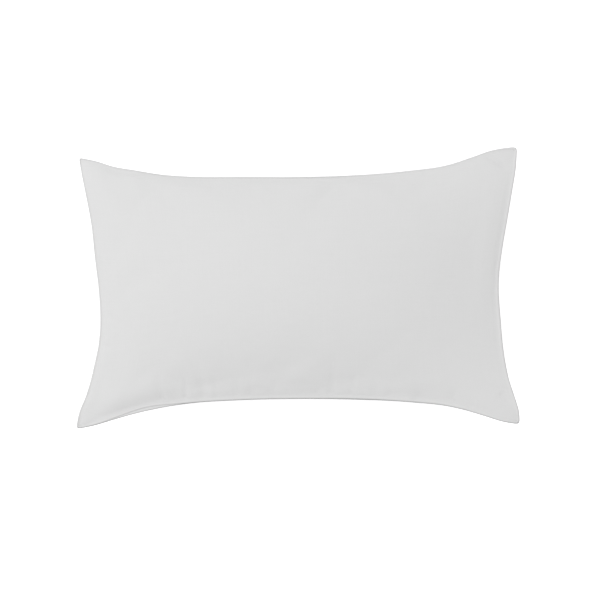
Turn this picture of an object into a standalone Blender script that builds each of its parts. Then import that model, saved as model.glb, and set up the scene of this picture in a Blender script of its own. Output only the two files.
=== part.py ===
"""Bed pillow, 50 x 80 cm, in a removable woven cover with a concealed zip.

The pillow lies flat, face up. +X runs along its length, +Y towards the head side, +Z up.
The origin is on the surface that the pillow rests on, under the middle of its outline.
The zip is in the long seam on the -Y side. Its slider closes towards +X.
"""

import math
from collections import namedtuple

import bmesh
import bpy

MM = 0.001

# Outline: the four corners in plan, and how far each side pulls in from the straight line
# between its corners at even steps along it. Sides run towards +X or towards +Y.
CORNERS_MM = {
    "zip_left": (-390, -248),
    "zip_right": (390, -240),
    "head_left": (-385, 229),
    "head_right": (385, 248),
}
ZIP_PULL_MM = (25, 43, 48, 49, 47, 42, 27)
HEAD_PULL_MM = (25, 39, 42, 44, 44, 38, 22)
LEFT_PULL_MM = (18, 34, 42, 39, 32, 25, 13)
RIGHT_PULL_MM = (14, 28, 33, 36, 30, 19, 7)

# Thickness: the seam's height above the table, and the crowns of the front and back faces.
SEAM_HEIGHT = 82 * MM
FRONT_CROWN = 98 * MM
BACK_CROWN = 104 * MM
EAR_DROOP = 12 * MM
EAR_POWER = 6
CELLS_LONG = 24
CELLS_WIDE = 14
SEAM_GAP = 0.3 * MM

# Each layer is a closed skin: its plan inset from the outline, its drop below the outer face,
# and how far it stands open on each side of the seam along the zip.
Layer = namedtuple("Layer", "inset drop opening")
COVER_OUTER = Layer(0, 0, 2.8 * MM)
COVER_INNER = Layer(9 * MM, 1.0 * MM, 4.6 * MM)
TICKING_OUTER = Layer(17 * MM, 1.6 * MM, 0)
TICKING_INNER = Layer(19 * MM, 2.4 * MM, 0)
FILL_SKIN = Layer(24 * MM, 3.0 * MM, 0)

# Zip: the chain is straight, and the cover stands open in front of it from end to end.
ZIP_HALF = 198 * MM
ZIP_MOUTH_HALF = 205 * MM
ZIP_MOUTH_FADE = 40 * MM
LIP_POWER = 8
ZIP_EDGE_Y = (sum(CORNERS_MM[c][1] for c in ("zip_left", "zip_right")) / 2 + ZIP_PULL_MM[3]) * MM
ZIP_WALL_Y = ZIP_EDGE_Y + COVER_INNER.inset
TAPE_GAP = 0.4 * MM
TAPE_THICKNESS = 0.5 * MM
TAPE_INNER_EDGE = 0.7 * MM
TAPE_BEND = 4.6 * MM
TAPE_TURNED_IN = 5.0 * MM
TAPE_RISE = 0.8 * MM
COIL_DEPTH = 1.8 * MM
COIL_SIDES = 8
COIL_NEAR = 0.5 * MM
COIL_FAR = 2.2 * MM
CONTACT_GAP = 0.3 * MM

# Slider and pull tab. The slider's middle is at SLIDER_X with the zip closed.
SLIDER_X = 188 * MM
SLIDER_HALF_LENGTH = 5 * MM
SLIDER_NOSE_HALF = 3.6 * MM
SLIDER_TAIL_HALF = 3.2 * MM
PLATE_THICKNESS = 1.3 * MM
PLATE_CORNER_CUT = 1.2 * MM
FLANGE_THICKNESS = 0.7 * MM
FLANGE_HALF_LENGTH = 3.4 * MM
NECK_HALF = 0.3 * MM
NECK_LENGTH = 3 * MM
BRIDGE_HALF_LENGTH = 3.2 * MM
BRIDGE_HALF_WIDTH = 0.8 * MM
BRIDGE_THICKNESS = 0.8 * MM
BRIDGE_CLEARANCE = 2.2 * MM
TAB_PIN_RADIUS = 0.55 * MM
TAB_PIN_SIDES = 12
TAB_PIN_PLAY = 0.35 * MM
TAB_HALF_WIDTH = 2.3 * MM
TAB_THICKNESS = 1.0 * MM
TAB_ARM_WIDTH = 1.0 * MM
TAB_ARM_OVERLAP = 0.2 * MM
TAB_END_STEPS = 8
TAB_PLATE_START = 4.6 * MM
TAB_LENGTH = 24 * MM
TACK_WIDTH = 1.5 * MM
TACK_HALF_HEIGHT = 3 * MM

# Overlock thread that binds the raw seam turnings inside each skin.
OVERLOCK_GAP = 0.5 * MM
OVERLOCK_WIDTH = 3 * MM
OVERLOCK_HALF_HEIGHT = 0.5 * MM
# It stops this many grid stations short of the corners, and of the zip's ends.
OVERLOCK_SHORT_LONG = 3
OVERLOCK_SHORT_WIDE = 2
OVERLOCK_ZIP_STATION = 7

COTTON = ("cover_cotton", (0.70, 0.70, 0.70), 0.85, 0.0)
TICKING = ("ticking_cotton", (0.82, 0.81, 0.79), 0.85, 0.0)
FIBRE = ("polyester_fibre", (0.90, 0.90, 0.90), 0.95, 0.0)
THREAD = ("sewing_thread", (0.74, 0.74, 0.74), 0.70, 0.0)
TAPE = ("zip_tape", (0.66, 0.66, 0.66), 0.80, 0.0)
NYLON = ("zip_coil_nylon", (0.62, 0.62, 0.62), 0.40, 0.0)
NICKEL = ("slider_nickel", (0.60, 0.60, 0.61), 0.30, 1.0)


def clear_scene():
    for item in list(bpy.data.objects):
        bpy.data.objects.remove(item, do_unlink=True)


def material(finish):
    name, color, roughness, metallic = finish
    made = bpy.data.materials.get(name)
    if made is None:
        made = bpy.data.materials.new(name)
        made.use_nodes = True
        shader = made.node_tree.nodes["Principled BSDF"]
        shader.inputs["Base Color"].default_value = (*color, 1)
        shader.inputs["Roughness"].default_value = roughness
        shader.inputs["Metallic"].default_value = metallic
    return made


def solid(name, points, faces, finish):
    """One closed body from its points and faces, with the normals turned outwards."""
    mesh = bpy.data.meshes.new(name)
    mesh.from_pydata(points, [], faces)
    shape = bmesh.new()
    shape.from_mesh(mesh)
    bmesh.ops.recalc_face_normals(shape, faces=shape.faces)
    shape.to_mesh(mesh)
    shape.free()
    mesh.materials.append(material(finish))
    made = bpy.data.objects.new(name, mesh)
    bpy.context.collection.objects.link(made)
    return made


# The pillow's shape ---------------------------------------------------------------------


def smooth_step(value):
    value = min(1.0, max(0.0, value))
    return value * value * (3 - 2 * value)


def zip_mouth(x):
    """1 along the zip, falling to 0 past its ends."""
    return smooth_step((ZIP_MOUTH_HALF + ZIP_MOUTH_FADE - abs(x)) / ZIP_MOUTH_FADE)


def pull_in(pulls, t):
    """A smooth curve through a side's pull-in steps, nothing at both corners."""
    steps = (0, *pulls, 0)
    place = t * (len(steps) - 1)
    start = min(int(place), len(steps) - 2)
    f = place - start
    a, b = steps[start], steps[start + 1]
    before = steps[start - 1] if start > 0 else 2 * a - b
    after = steps[start + 2] if start + 2 < len(steps) else 2 * b - a
    slope_a, slope_b = (b - before) / 2, (after - a) / 2
    bend = f * (1 - f) * ((1 - f) * (slope_a - (b - a)) - f * (slope_b - (b - a)))
    return (a + (b - a) * f + bend) * MM


def corner(name, inset):
    x, y = CORNERS_MM[name]
    return x * MM - math.copysign(inset, x), y * MM - math.copysign(inset, y)


def between(a, b, t):
    return a[0] + (b[0] - a[0]) * t, a[1] + (b[1] - a[1]) * t


def side_point(side, inset, t):
    """The point a fraction t along one side of the outline, moved in by inset."""
    if side == "zip":
        x, y = between(corner("zip_left", inset), corner("zip_right", inset), t)
        y += pull_in(ZIP_PULL_MM, t)
        if inset > 0:
            straight = max(0.0, ZIP_EDGE_Y + inset - y)
            y += straight * zip_mouth(x)
        return x, y
    if side == "head":
        x, y = between(corner("head_left", inset), corner("head_right", inset), t)
        return x, y - pull_in(HEAD_PULL_MM, t)
    if side == "left":
        x, y = between(corner("zip_left", inset), corner("head_left", inset), t)
        return x + pull_in(LEFT_PULL_MM, t), y
    x, y = between(corner("zip_right", inset), corner("head_right", inset), t)
    return x - pull_in(RIGHT_PULL_MM, t), y


def plan_point(inset, u, v):
    """Where (u, v), each from -1 to 1, lies inside the outline: a Coons patch of its sides."""
    s, t = (u + 1) / 2, (v + 1) / 2
    zip_side, head_side = side_point("zip", inset, s), side_point("head", inset, s)
    left, right = side_point("left", inset, t), side_point("right", inset, t)
    lower = between(corner("zip_left", inset), corner("zip_right", inset), s)
    upper = between(corner("head_left", inset), corner("head_right", inset), s)
    across, along = between(zip_side, head_side, t), between(left, right, s)
    plain = between(lower, upper, t)
    return across[0] + along[0] - plain[0], across[1] + along[1] - plain[1]


def seam_height(u, v):
    return SEAM_HEIGHT - EAR_DROOP * (u * v) ** EAR_POWER


def skin_point(layer, face, u, v):
    """A point on the front (+1) or back (-1) face of a layer."""
    x, y = plan_point(layer.inset, u, v)
    dome = math.sqrt(max(0.0, (1 - u * u) * (1 - v * v)))
    crown = FRONT_CROWN if face > 0 else BACK_CROWN
    near_zip = max(0.0, -v) ** LIP_POWER * zip_mouth(x)
    rise = SEAM_GAP / 2 + layer.opening * near_zip + (crown - layer.drop) * dome
    z = seam_height(u, v) + face * rise
    return x, y, max(z, layer.drop)


def stations(cells):
    """Steps from -1 to 1 that close up towards the rim, where the fabric curves most."""
    return [math.sin(math.pi * (i / cells - 0.5)) for i in range(cells + 1)]


LONG = stations(CELLS_LONG)
WIDE = stations(CELLS_WIDE)


def grid_index(i, j):
    return j * len(LONG) + i


def skin_points(layer, face):
    return [skin_point(layer, face, u, v) for v in WIDE for u in LONG]


def skin_faces(start):
    """Two triangles to a cell, split along the diagonal that points at the nearest corner."""
    faces = []
    for j in range(CELLS_WIDE):
        for i in range(CELLS_LONG):
            a, b = start + grid_index(i, j), start + grid_index(i + 1, j)
            c, d = start + grid_index(i + 1, j + 1), start + grid_index(i, j + 1)
            if (i < CELLS_LONG / 2) == (j < CELLS_WIDE / 2):
                faces += [(a, b, c), (a, c, d)]
            else:
                faces += [(a, b, d), (b, c, d)]
    return faces


def rim_loop():
    """Grid indices once around the rim."""
    near = [grid_index(i, 0) for i in range(CELLS_LONG)]
    right = [grid_index(CELLS_LONG, j) for j in range(CELLS_WIDE)]
    far = [grid_index(i, CELLS_WIDE) for i in range(CELLS_LONG, 0, -1)]
    left = [grid_index(0, j) for j in range(CELLS_WIDE, 0, -1)]
    return near + right + far + left


def closed_skins(name, first, second, finish):
    """The solid between two skins of points, closed along their rims."""
    offset = len(first)
    faces = skin_faces(0) + skin_faces(offset)
    rim = rim_loop()
    for a, b in zip(rim, rim[1:] + rim[:1]):
        faces.append((a, b, b + offset, a + offset))
    return solid(name, first + second, faces, finish)


def panel(name, outer, inner, face, finish):
    """A fabric panel: one face, from the outer layer in to the inner."""
    return closed_skins(name, skin_points(outer, face), skin_points(inner, face), finish)


def filling(name, layer, finish):
    """The fibre body: everything between a layer's front and back faces."""
    return closed_skins(name, skin_points(layer, 1), skin_points(layer, -1), finish)


# Overlock thread ------------------------------------------------------------------------


def overlock(name, side, layer, first, last, finish):
    """A flat run of thread just inside a layer's rim, from one grid station to another."""
    steps = LONG if side in ("zip", "head") else WIDE
    points = []
    for step in steps[first : last + 1]:
        across = 1 if side in ("head", "right") else -1
        u, v = (step, across) if steps is LONG else (across, step)
        for inset in (OVERLOCK_GAP, OVERLOCK_GAP + OVERLOCK_WIDTH):
            x, y = side_point(side, layer.inset + inset, (step + 1) / 2)
            for level in (-OVERLOCK_HALF_HEIGHT, OVERLOCK_HALF_HEIGHT):
                points.append((x, y, seam_height(u, v) + level))
    around = (0, 1, 3, 2)
    rings = len(points) // 4
    faces = [around, tuple((rings - 1) * 4 + k for k in reversed(around))]
    for ring in range(rings - 1):
        for a, b in zip(around, around[1:] + around[:1]):
            near, far = ring * 4, ring * 4 + 4
            faces.append((near + a, near + b, far + b, far + a))
    return solid(name, points, faces, finish)


def overlocks(prefix, layer):
    """The closed sides of a skin. The cover's zip side is sewn only past the zip's ends."""
    start, end = OVERLOCK_SHORT_LONG, CELLS_LONG - OVERLOCK_SHORT_LONG
    low, high = OVERLOCK_SHORT_WIDE, CELLS_WIDE - OVERLOCK_SHORT_WIDE
    overlock(f"{prefix}_overlock_head", "head", layer, start, end, THREAD)
    overlock(f"{prefix}_overlock_left", "left", layer, low, high, THREAD)
    overlock(f"{prefix}_overlock_right", "right", layer, low, high, THREAD)
    if layer.opening:
        zip_start, zip_end = OVERLOCK_ZIP_STATION, CELLS_LONG - OVERLOCK_ZIP_STATION
        overlock(f"{prefix}_overlock_zip_left", "zip", layer, start, zip_start, THREAD)
        overlock(f"{prefix}_overlock_zip_right", "zip", layer, zip_end, end, THREAD)
    else:
        overlock(f"{prefix}_overlock_zip_side", "zip", layer, start, end, THREAD)


# Zip ------------------------------------------------------------------------------------


def prism(name, outline, low, high, axis, finish):
    """A flat outline pushed from low to high along one axis (0 for X, 1 for Y, 2 for Z)."""
    count = len(outline)
    points = []
    for depth in (low, high):
        for place in outline:
            points.append((*place[:axis], depth, *place[axis:]))
    faces = [tuple(range(count)), tuple(range(2 * count - 1, count - 1, -1))]
    for k in range(count):
        after = (k + 1) % count
        faces.append((k, after, count + after, count + k))
    return solid(name, points, faces, finish)


def block(name, low, high, finish):
    outline = [(low[1], low[2]), (high[1], low[2]), (high[1], high[2]), (low[1], high[2])]
    return prism(name, outline, low[0], high[0], 0, finish)


def union(body, pieces):
    for piece in pieces:
        join = body.modifiers.new("join_" + piece.name, "BOOLEAN")
        join.operation = "UNION"
        join.object = piece
        piece.hide_render = True
        piece.display_type = "WIRE"
    return body


def set_origin(body, place):
    """Moves the object's origin to a place and leaves its shape where it is."""
    for vertex in body.data.vertices:
        vertex.co.x -= place[0]
        vertex.co.y -= place[1]
        vertex.co.z -= place[2]
    body.location = place


def rounded(sides, reach_a, reach_b):
    """Offsets of an even polygon with flats on its four quarters, reaching these half sizes."""
    half_turn = math.pi / sides
    for k in range(sides):
        angle = half_turn * (2 * k + 1)
        stretch = 1 / math.cos(half_turn)
        yield reach_a * stretch * math.cos(angle), reach_b * stretch * math.sin(angle)


def zip_tape(name, face):
    """A woven tape: upright behind the coil, then turned in along the seam allowance."""
    front = ZIP_WALL_Y + TAPE_GAP
    back = front + TAPE_THICKNESS
    turned = front + TAPE_TURNED_IN
    outline = [
        (front, TAPE_INNER_EDGE),
        (front, TAPE_BEND),
        (turned, TAPE_BEND + TAPE_RISE),
        (turned, TAPE_BEND + TAPE_RISE - TAPE_THICKNESS),
        (back, TAPE_BEND - TAPE_THICKNESS),
        (back, TAPE_INNER_EDGE),
    ]
    placed = [(y, SEAM_HEIGHT + face * z) for y, z in outline]
    return prism(name, placed, -ZIP_HALF, ZIP_HALF, 0, TAPE)


def zip_coil(name, face):
    """One row of the chain as an eight-sided bar."""
    back = ZIP_WALL_Y + TAPE_GAP - CONTACT_GAP
    middle_y, half_y = back - COIL_DEPTH / 2, COIL_DEPTH / 2
    middle_z, half_z = (COIL_NEAR + COIL_FAR) / 2, (COIL_FAR - COIL_NEAR) / 2
    outline = []
    for y, z in rounded(COIL_SIDES, half_y, half_z):
        outline.append((middle_y + y, SEAM_HEIGHT + face * (middle_z + z)))
    return prism(name, outline, -ZIP_HALF, ZIP_HALF, 0, NYLON)


def bar_tack(name, sign):
    """A block of thread across the chain, just past the slider's travel."""
    front = ZIP_WALL_Y + TAPE_GAP - CONTACT_GAP - COIL_DEPTH - CONTACT_GAP
    start, end = ZIP_HALF - CONTACT_GAP - TACK_WIDTH, ZIP_HALF - CONTACT_GAP
    xs = sorted((sign * start, sign * end))
    low = (xs[0], front - TACK_WIDTH, SEAM_HEIGHT - TACK_HALF_HEIGHT)
    high = (xs[1], front, SEAM_HEIGHT + TACK_HALF_HEIGHT)
    return block(name, low, high, THREAD)


def slider_plate(name, low_y, high_y):
    """A plate seen from the front: a wide nose towards +X, a narrower tail, cut corners."""
    cut = PLATE_CORNER_CUT
    nose, tail = SLIDER_NOSE_HALF, SLIDER_TAIL_HALF
    front, back = SLIDER_X + SLIDER_HALF_LENGTH, SLIDER_X - SLIDER_HALF_LENGTH
    upper = [(back, tail - cut), (back + cut, tail), (front - cut, nose), (front, nose - cut)]
    outline = [(x, SEAM_HEIGHT + z) for x, z in upper]
    outline += [(x, SEAM_HEIGHT - z) for x, z in reversed(upper)]
    return prism(name, outline, low_y, high_y, 1, NICKEL)


def zip_slider():
    """Two plates joined by a neck, a flange down each long side, and a bridge on the front."""
    chain_front = ZIP_WALL_Y + TAPE_GAP - CONTACT_GAP - COIL_DEPTH
    plate_back = chain_front - CONTACT_GAP
    plate_front = plate_back - PLATE_THICKNESS
    rear_front = ZIP_WALL_Y + TAPE_GAP + TAPE_THICKNESS + TAPE_GAP
    rear_back = rear_front + PLATE_THICKNESS
    body = slider_plate("zip_slider", plate_front, plate_back)
    rear = slider_plate("slider_rear_plate", rear_front, rear_back)
    nose = SLIDER_X + SLIDER_HALF_LENGTH - NECK_HALF
    neck = block(
        "slider_neck",
        (nose - NECK_LENGTH, plate_back - CONTACT_GAP, SEAM_HEIGHT - NECK_HALF),
        (nose, rear_front + CONTACT_GAP, SEAM_HEIGHT + NECK_HALF),
        NICKEL,
    )
    pieces = [rear, neck]
    flange_reach = chain_front + COIL_DEPTH - CONTACT_GAP / 3
    for face in (-1, 1):
        edges = sorted(face * z for z in (SLIDER_TAIL_HALF - FLANGE_THICKNESS, SLIDER_TAIL_HALF))
        flange = block(
            f"slider_flange_{'upper' if face > 0 else 'lower'}",
            (SLIDER_X - FLANGE_HALF_LENGTH, plate_back - CONTACT_GAP, SEAM_HEIGHT + edges[0]),
            (SLIDER_X + FLANGE_HALF_LENGTH, flange_reach, SEAM_HEIGHT + edges[1]),
            NICKEL,
        )
        pieces.append(flange)
    bar_y = plate_front - BRIDGE_CLEARANCE
    pieces.append(
        block(
            "slider_bridge_bar",
            (SLIDER_X - BRIDGE_HALF_LENGTH, bar_y - BRIDGE_THICKNESS, SEAM_HEIGHT - BRIDGE_HALF_WIDTH),
            (SLIDER_X + BRIDGE_HALF_LENGTH, bar_y, SEAM_HEIGHT + BRIDGE_HALF_WIDTH),
            NICKEL,
        )
    )
    for sign in (-1, 1):
        ends = sorted(sign * x for x in (BRIDGE_HALF_LENGTH - BRIDGE_THICKNESS, BRIDGE_HALF_LENGTH))
        leg = block(
            f"slider_bridge_leg_{'nose' if sign > 0 else 'tail'}",
            (SLIDER_X + ends[0], bar_y - BRIDGE_THICKNESS / 2, SEAM_HEIGHT - BRIDGE_HALF_WIDTH),
            (SLIDER_X + ends[1], plate_front + CONTACT_GAP, SEAM_HEIGHT + BRIDGE_HALF_WIDTH),
            NICKEL,
        )
        pieces.append(leg)
    union(body, pieces)
    for piece in [body, *pieces]:
        set_origin(piece, (SLIDER_X, ZIP_WALL_Y, SEAM_HEIGHT))
    return plate_front


def pull_tab(plate_front):
    """A tab whose cross pin turns under the bridge. At rest it lies back along the chain."""
    pin_y = plate_front - BRIDGE_CLEARANCE + TAB_PIN_RADIUS + TAB_PIN_PLAY
    low_y, high_y = pin_y - TAB_THICKNESS / 2, pin_y + TAB_THICKNESS / 2
    start, end = SLIDER_X - TAB_PLATE_START, SLIDER_X - TAB_LENGTH
    outline = [(start, -TAB_HALF_WIDTH), (start, TAB_HALF_WIDTH)]
    for k in range(TAB_END_STEPS + 1):
        angle = math.pi * (0.5 + k / TAB_END_STEPS)
        x = end + TAB_HALF_WIDTH + TAB_HALF_WIDTH * math.cos(angle)
        outline.append((x, TAB_HALF_WIDTH * math.sin(angle)))
    placed = [(x, SEAM_HEIGHT + z) for x, z in outline]
    tab = prism("zip_pull_tab", placed, low_y, high_y, 1, NICKEL)
    pieces = []
    for face in (-1, 1):
        edges = sorted(face * z for z in (TAB_HALF_WIDTH - TAB_ARM_WIDTH, TAB_HALF_WIDTH))
        arm = block(
            f"tab_arm_{'upper' if face > 0 else 'lower'}",
            (start - TAB_ARM_OVERLAP, low_y, SEAM_HEIGHT + edges[0]),
            (SLIDER_X, high_y, SEAM_HEIGHT + edges[1]),
            NICKEL,
        )
        pieces.append(arm)
    pin = []
    for x, y in rounded(TAB_PIN_SIDES, TAB_PIN_RADIUS, TAB_PIN_RADIUS):
        pin.append((SLIDER_X + x, pin_y + y))
    low, high = SEAM_HEIGHT - TAB_HALF_WIDTH, SEAM_HEIGHT + TAB_HALF_WIDTH
    pieces.append(prism("tab_pin", pin, low, high, 2, NICKEL))
    union(tab, pieces)
    for piece in [tab, *pieces]:
        set_origin(piece, (SLIDER_X, pin_y, SEAM_HEIGHT))


def build():
    clear_scene()
    panel("cover_front_panel", COVER_OUTER, COVER_INNER, 1, COTTON)
    panel("cover_back_panel", COVER_OUTER, COVER_INNER, -1, COTTON)
    panel("ticking_front_panel", TICKING_OUTER, TICKING_INNER, 1, TICKING)
    panel("ticking_back_panel", TICKING_OUTER, TICKING_INNER, -1, TICKING)
    filling("fibre_fill", FILL_SKIN, FIBRE)
    overlocks("cover", COVER_INNER)
    overlocks("ticking", TICKING_INNER)
    zip_tape("zip_tape_front", 1)
    zip_tape("zip_tape_back", -1)
    zip_coil("zip_coil_front", 1)
    zip_coil("zip_coil_back", -1)
    bar_tack("bar_tack_closed_end", 1)
    bar_tack("bar_tack_open_end", -1)
    plate_front = zip_slider()
    pull_tab(plate_front)


build()
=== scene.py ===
"""The looks of the bed pillow: a woven cover blown up by cloth simulation, its sewn edge, its
concealed zip, and the sewn inner pillow inside it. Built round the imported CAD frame.

+X runs along the pillow, the zip is in the long seam on the -Y side, and +Z is up.
"""

import math

import bmesh
import bpy
import numpy as np
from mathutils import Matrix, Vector

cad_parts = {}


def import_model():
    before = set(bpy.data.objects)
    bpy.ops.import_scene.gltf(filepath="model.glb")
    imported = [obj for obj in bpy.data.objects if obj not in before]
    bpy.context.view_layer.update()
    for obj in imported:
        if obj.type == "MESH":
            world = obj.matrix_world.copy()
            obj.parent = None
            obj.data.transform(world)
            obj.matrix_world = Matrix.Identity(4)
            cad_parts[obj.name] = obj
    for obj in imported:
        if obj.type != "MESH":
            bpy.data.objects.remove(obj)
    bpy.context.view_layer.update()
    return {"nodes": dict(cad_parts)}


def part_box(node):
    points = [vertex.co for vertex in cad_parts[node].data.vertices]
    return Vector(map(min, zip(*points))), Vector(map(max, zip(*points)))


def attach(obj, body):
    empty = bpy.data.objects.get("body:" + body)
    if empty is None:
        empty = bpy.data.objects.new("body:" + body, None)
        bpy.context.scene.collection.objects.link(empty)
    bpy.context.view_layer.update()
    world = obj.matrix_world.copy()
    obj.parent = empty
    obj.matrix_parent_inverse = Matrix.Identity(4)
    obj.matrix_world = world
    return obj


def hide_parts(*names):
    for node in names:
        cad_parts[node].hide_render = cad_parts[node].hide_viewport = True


MM = 0.001

# The sewn cloth: its flat size, the grid it is simulated on, and how far its two sheets stand
# apart at the start, as the full shape and as flat cloth.
FLAT_LENGTH = 0.80
FLAT_WIDTH = 0.50
SIM_CELL = 0.010
FINE = 4
START_DOME = 0.085
START_GAP = 0.012
SMOOTH_FRAMES = 14
WRINKLE_FRAMES = 40
DRAW_FRAMES = 20
PRESSURE = 2.0
# Wrinkles are what is left of the simulated cloth without anything wider than this many cells,
# smoothed over a few.
WIDEST_CELLS = 8.0
SMOOTHED_CELLS = 0.7

# Outline in plan, as in the CAD: four corners, and how far each side pulls in from the
# straight line between them, as (fraction of the side, millimetres).
CORNERS_MM = {
    "zip_left": (-390, -248),
    "zip_right": (390, -240),
    "head_left": (-385, 229),
    "head_right": (385, 248),
}
ZIP_PULL = ((0, 0), (0.04, 6), (0.08, 15), (0.125, 25), (0.2, 37.5), (0.25, 43), (0.375, 48.5),
            (0.5, 49.5), (0.625, 47.5), (0.75, 42), (0.84, 33.5), (0.875, 27), (0.92, 16),
            (0.96, 6), (1, 0))
HEAD_PULL = ((0, 0), (0.04, 7.5), (0.08, 18), (0.125, 25), (0.2, 35.5), (0.25, 39), (0.375, 42),
             (0.5, 44.5), (0.625, 44), (0.75, 38.5), (0.84, 30), (0.9, 16), (0.94, 6),
             (0.97, 2), (1, 0))
LEFT_PULL = ((0, 0), (0.06, 6), (0.125, 18.5), (0.25, 34), (0.31, 39.5), (0.375, 42), (0.5, 39.5),
             (0.625, 32), (0.75, 25), (0.875, 13), (0.94, 6), (1, 0))
RIGHT_PULL = ((0, 0), (0.05, 2.5), (0.1, 10), (0.16, 19.5), (0.25, 28), (0.375, 33.5),
              (0.5, 36.5), (0.56, 34.5), (0.625, 30), (0.75, 19), (0.84, 11), (0.92, 4), (1, 0))

# Heights, as in the CAD.
SEAM_HEIGHT = 82 * MM
FRONT_CROWN = 98 * MM
BACK_CROWN = 104 * MM
EAR_DROOP = 12 * MM
EAR_POWER = 6
HALF_LENGTH = 355 * MM
HALF_WIDTH = 197 * MM
# A taut skin would meet the seam upright: this much of the height follows a flatter lens
# instead, more of it on the zip and right sides, and the last of it flares out.
LENS_SHARE = 0.45
SLACK_LENS_SHARE = 1.0
# How much of the height is an even dome, and how much the simulated one.
DOME_SHARE = 0.6
FLARE = 0.40
FLARE_REACH = 4 * MM
TABLE_SOFTNESS = 12 * MM

# The sewn edge: the stitch line lies this far inside the outline, on the zip and right sides
# and elsewhere. The wide lip narrows over the last part of its side at both ends.
STITCH_INSET = 4.5 * MM
NARROW_LIP = 2.2 * MM
SIDE_BAND = (0.9, 1.0)
ZIP_LIP_END = 0.06
RIGHT_LIP_END = 0.10
# Each corner is eased by some passes, in the order of rim_walk, over this many points.
CORNER_PASSES = (8, 10, 8, 4)
CORNER_REACH = 12
CORNER_WINDOW = 24
# The lip, from the stitch line to the edge and just round it: share of the lip's width, how
# far it stands off the middle in millimetres, and how far it has turned back in.
LIP_LOOPS = ((0.0, 0.25, 0.0), (0.18, 0.55, 0.0), (0.45, 1.15, 0.0), (0.78, 1.35, 0.0),
             (0.95, 1.10, 0.0), (1.0, 0.45, 0.0), (1.0, 0.10, 0.3 * MM))
# The hem, all in millimetres: how far it has turned in where the seam is closed, and where it
# lies in the mouth of the zip, as Y and as height off the middle.
HEM_LIFT = 0.05
HEM_LOOPS = ((1.5, -191.0, 3.4), (3.0, -188.5, 4.0), (6.0, -186.0, 5.0), (9.0, -181.0, 5.9))

# The mouth of the zip: half its length, how far it fades past that, and how far each panel
# stands off the middle at the lip's edge and at the stitch line, over the zip tape and where
# the seam is closed. The panels come together towards the tips of the corners.
MOUTH_HALF = 194 * MM
MOUTH_FADE = 16 * MM
LIP_OPENING = 2.6 * MM
STITCH_OPENING = 6.2 * MM
CLOSED_OPENING = 2.0 * MM
OPENING_FADE = 12 * MM
TIP_PART = 0.12

# The front edge has rolled in from the outline by this much along the zip and right sides, and
# by more at some places on the zip side: place along it, reach, how far. The roll starts and
# ends within these bands, from -1 to 1 across the pillow and along it.
ROLLED_IN = 1.6 * MM
RIGHT_ROLL_SHARE = 0.7
ZIP_ROLL_BAND = (-1.0, 0.4)
RIGHT_ROLL_BAND = (0.2, 1.0)
ROLLS = ((-0.275, 0.050, 6.0 * MM), (0.100, 0.060, 0.5 * MM))

# Gathers along the zip seam: place along it, depth and length, in millimetres.
PUCKERS = ((-236, 2.4, 42), (-197, 3.2, 34), (-164, 2.8, 50), (-140, 1.4, 34), (-110, 1.3, 34),
           (-82, 1.8, 30), (-45, 1.8, 18), (-17, 1.2, 18), (33, 1.6, 20), (56, 2.2, 48),
           (91, 1.8, 30), (133, 1.4, 32), (161, 2.2, 18), (215, 1.4, 20), (269, 1.8, 18),
           (306, 1.0, 28))
# Each leans and widens at random, starts this far in from the seam, and has a low ridge beside
# it: the ridge's share of the depth, and its place and width in widths of the gather.
PUCKER_SEED = 11
PUCKER_LEAN = 0.15
PUCKER_WIDTHS = (4.5 * MM, 7.5 * MM)
PUCKER_START = 6 * MM
RIDGE_SHARE = 0.3
RIDGE_PLACE = 2.1
RIDGE_WIDTH = 1.2

# Share of the simulated wrinkles that is kept. In the flat cloth, from 0 at the seam to 1 in
# the middle, the front's share grows over a band near the seam, less so near the short sides,
# and nothing moves at the seam itself. The right end of the front is smooth.
FACE_WRINKLES = 0.10
SEAM_WRINKLES = 0.40
BACK_WRINKLES = 0.50
WRINKLED_BAND = (0.1, 0.5)
SHORT_SIDE_BAND = (0.6, 0.9)
SHORT_SIDE_LOSS = 0.6
SMOOTH_END_BAND = (0.5, 0.8)
RIM_BAND = 0.03

# The folds of the front: start, end, half width and height, in metres. Each fades out over a
# part of its length at both ends, and sinks by no more than a share of the swell under it.
FOLD_FADE = 0.35
DEEPEST_FOLD = 0.4
FRONT_FOLDS = (
    # A short crease across the head-right corner.
    ((0.320, 0.239), (0.368, 0.205), 0.0036, -0.0030),
    # A fold under the head-left edge.
    ((-0.300, 0.190), (-0.240, 0.203), 0.0045, 0.0026),
    ((-0.345, 0.212), (-0.245, 0.194), 0.0090, -0.0030),
    # The zip-left corner: a ridge that runs into it, and the hollow beside that.
    ((-0.335, -0.060), (-0.392, -0.245), 0.0200, 0.0035),
    ((-0.262, -0.206), (-0.380, -0.243), 0.0140, -0.0030),
    ((-0.362, -0.214), (-0.205, -0.158), 0.0200, 0.0045),
    # The zip-right corner: two small dimples.
    ((0.350, -0.180), (0.376, -0.201), 0.0055, -0.0030),
    ((0.262, -0.208), (0.276, -0.170), 0.0090, -0.0012),
    # The right side swells a little before it falls to its seam.
    ((0.348, 0.225), (0.312, -0.080), 0.0240, 0.0034),
    # A slight pucker at the left seam.
    ((-0.365, -0.098), (-0.320, -0.104), 0.0050, -0.0014),
)

# The inner pillow and its filling lie this far inside the cover. The drop is whole where the
# cover has swelled by DROP_REACH times as much. Their grids are this much coarser.
TICKING_INSET = 19 * MM
TICKING_DROP = 5 * MM
FILL_INSET = 24 * MM
FILL_DROP = 9 * MM
DROP_REACH = 3
INNER_STEP = 4

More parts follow.
